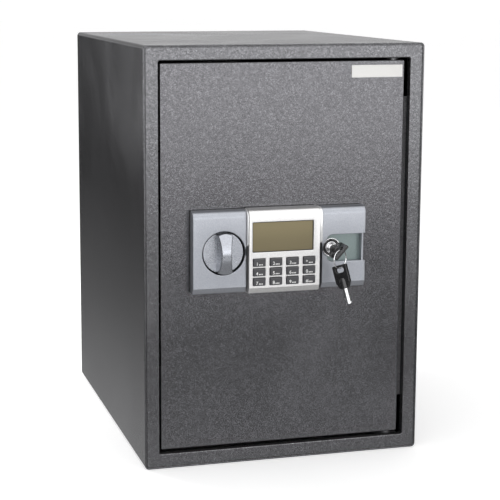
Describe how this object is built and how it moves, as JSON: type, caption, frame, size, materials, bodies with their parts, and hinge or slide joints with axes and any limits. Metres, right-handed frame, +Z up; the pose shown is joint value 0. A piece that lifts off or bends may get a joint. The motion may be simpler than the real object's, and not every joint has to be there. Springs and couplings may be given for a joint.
{
  "type": "safe",
  "caption": "Floor-standing steel safe with a recessed hinged door, keypad panel, bolt knob, override key lock, locking bolts and a lift-out shelf.",
  "frame": {"origin": "centre of the cabinet's base, in the plane of its underside and at the middle of the floor anchor holes", "axes": "+Z up, +X to the right seen from the front, +Y from the door towards the back"},
  "size_m": [0.35, 0.4945, 0.51],
  "materials": {
    "cabinet_paint": "textured",
    "frame_paint": "textured",
    "door_paint": "textured",
    "inner_paint": "satin",
    "felt": "felt",
    "zinc_steel": "satin",
    "bright_steel": "polished",
    "brass": "satin",
    "cover_paint": "satin metallic",
    "knob_paint": "satin metallic",
    "housing_silver": "satin metallic",
    "trim_chrome": "polished",
    "black_plastic": "matte",
    "key_plastic": "satin",
    "lcd_film": "gloss",
    "circuit_green": "satin",
    "battery_wrap": "gloss",
    "button_red": "gloss",
    "label_white": "satin"
  },
  "bodies": {
    "cabinet": {"cabinet_shell": "cabinet_paint", "front_frame": "frame_paint", "back_panel": "cabinet_paint", "floor_mat": "felt", "shelf_rails": "inner_paint", "hinge_brackets": "inner_paint", "hinge_bushes": "zinc_steel"},
    "shelf": {"shelf": "inner_paint", "shelf_mat": "felt"},
    "door": {"door_plate": "door_paint", "hinge_lugs": "inner_paint", "hinge_pins": "bright_steel", "dead_bar": "inner_paint", "bolt_guide": "inner_paint", "back_cover": "inner_paint", "screws": "zinc_steel", "battery_box": "black_plastic", "batteries": "battery_wrap", "solenoid_body": "zinc_steel", "circuit_board": "circuit_green", "knob_bush": "brass", "panel_base": "black_plastic", "panel_left": "cover_paint", "panel_right": "cover_paint", "keypad_housing": "housing_silver", "trim_strips": "trim_chrome", "lcd_window": "lcd_film", "keypad_board": "circuit_green", "lock_cylinder": "bright_steel", "lock_nut": "zinc_steel", "label_plate": "label_white"},
    "battery_lid": {"battery_lid": "black_plastic"},
    "knob": {"knob": "knob_paint", "knob_shaft": "zinc_steel", "crank_arm": "zinc_steel"},
    "boltwork": {"bolt_carriage": "zinc_steel", "bolts": "bright_steel", "bolt_nuts": "zinc_steel"},
    "plunger": {"plunger": "bright_steel", "plunger_spring": "bright_steel"},
    "lock_plug": {"lock_plug": "bright_steel", "lock_cam": "zinc_steel"},
    "key": {"key_shaft": "bright_steel", "key_head": "black_plastic"},
    "ring": {"key_ring": "bright_steel"},
    "spare_key": {"spare_shaft": "bright_steel", "spare_head": "black_plastic"},
    "reset_button": {"reset_button": "button_red"},
    "button_1": {"key_1": "key_plastic"},
    "button_2": {"key_2": "key_plastic"},
    "button_3": {"key_3": "key_plastic"},
    "button_a": {"key_a": "key_plastic"},
    "button_4": {"key_4": "key_plastic"},
    "button_5": {"key_5": "key_plastic"},
    "button_6": {"key_6": "key_plastic"},
    "button_0": {"key_0": "key_plastic"},
    "button_7": {"key_7": "key_plastic"},
    "button_8": {"key_8": "key_plastic"},
    "button_9": {"key_9": "key_plastic"},
    "button_b": {"key_b": "key_plastic"}
  },
  "joints": [
    {"name": "door_swing", "type": "hinge", "parent": "cabinet", "child": "door", "pos_m": [0.14, -0.204, 0.255], "axis": [0, 0, 1], "range_deg": [0, 100]},
    {"name": "shelf_lift", "type": "slide", "parent": "cabinet", "child": "shelf", "axis": [0, 0, 1], "range_m": [0, 0.03]},
    {"name": "knob_turn", "type": "hinge", "parent": "door", "child": "knob", "pos_m": [-0.08, -0.23, 0.2635], "axis": [0, -1, 0], "range_deg": [0, 90]},
    {"name": "bolt_throw", "type": "slide", "parent": "door", "child": "boltwork", "axis": [-1, 0, 0], "range_m": [0, 0.01697]},
    {"name": "plunger_drop", "type": "slide", "parent": "door", "child": "plunger", "axis": [0, 0, -1], "range_m": [0, 0.0051], "deforming": ["plunger_spring"]},
    {"name": "plug_turn", "type": "hinge", "parent": "door", "child": "lock_plug", "pos_m": [0.057, -0.224, 0.2635], "axis": [0, 1, 0], "range_deg": [0, 90]},
    {"name": "key_pull", "type": "slide", "parent": "lock_plug", "child": "key", "axis": [0, -1, 0], "range_m": [0, 0.025]},
    {"name": "ring_swing", "type": "hinge", "parent": "key", "child": "ring", "pos_m": [0.05901, -0.256, 0.26573], "axis": [0, 1, 0], "range_deg": [-5, 8]},
    {"name": "spare_swing", "type": "hinge", "parent": "ring", "child": "spare_key", "pos_m": [0.05654, -0.25742, 0.2441], "axis": [0.866, 0.5, 0], "range_deg": [-35, 35]},
    {"name": "lid_slide", "type": "slide", "parent": "door", "child": "battery_lid", "axis": [-1, 0, 0], "range_m": [0, 0.065]},
    {"name": "reset_press", "type": "slide", "parent": "door", "child": "reset_button", "axis": [0, -1, 0], "range_m": [0, 0.0015], "stiffness_N_per_m": 300, "springref_m": -0.001},
    {"name": "press_1", "type": "slide", "parent": "door", "child": "button_1", "axis": [0, 1, 0], "range_m": [0, 0.001], "stiffness_N_per_m": 300, "springref_m": -0.001},
    {"name": "press_2", "type": "slide", "parent": "door", "child": "button_2", "axis": [0, 1, 0], "range_m": [0, 0.001], "stiffness_N_per_m": 300, "springref_m": -0.001},
    {"name": "press_3", "type": "slide", "parent": "door", "child": "button_3", "axis": [0, 1, 0], "range_m": [0, 0.001], "stiffness_N_per_m": 300, "springref_m": -0.001},
    {"name": "press_a", "type": "slide", "parent": "door", "child": "button_a", "axis": [0, 1, 0], "range_m": [0, 0.001], "stiffness_N_per_m": 300, "springref_m": -0.001},
    {"name": "press_4", "type": "slide", "parent": "door", "child": "button_4", "axis": [0, 1, 0], "range_m": [0, 0.001], "stiffness_N_per_m": 300, "springref_m": -0.001},
    {"name": "press_5", "type": "slide", "parent": "door", "child": "button_5", "axis": [0, 1, 0], "range_m": [0, 0.001], "stiffness_N_per_m": 300, "springref_m": -0.001},
    {"name": "press_6", "type": "slide", "parent": "door", "child": "button_6", "axis": [0, 1, 0], "range_m": [0, 0.001], "stiffness_N_per_m": 300, "springref_m": -0.001},
    {"name": "press_0", "type": "slide", "parent": "door", "child": "button_0", "axis": [0, 1, 0], "range_m": [0, 0.001], "stiffness_N_per_m": 300, "springref_m": -0.001},
    {"name": "press_7", "type": "slide", "parent": "door", "child": "button_7", "axis": [0, 1, 0], "range_m": [0, 0.001], "stiffness_N_per_m": 300, "springref_m": -0.001},
    {"name": "press_8", "type": "slide", "parent": "door", "child": "button_8", "axis": [0, 1, 0], "range_m": [0, 0.001], "stiffness_N_per_m": 300, "springref_m": -0.001},
    {"name": "press_9", "type": "slide", "parent": "door", "child": "button_9", "axis": [0, 1, 0], "range_m": [0, 0.001], "stiffness_N_per_m": 300, "springref_m": -0.001},
    {"name": "press_b", "type": "slide", "parent": "door", "child": "button_b", "axis": [0, 1, 0], "range_m": [0, 0.001], "stiffness_N_per_m": 300, "springref_m": -0.001}
  ],
  "couplings": [
    {"joint": "knob_turn", "follows": "bolt_throw", "rad_per_m": 92.56},
    {"joint": "plunger_drop", "follows": "bolt_throw", "ratio": 0.2946}
  ]
}
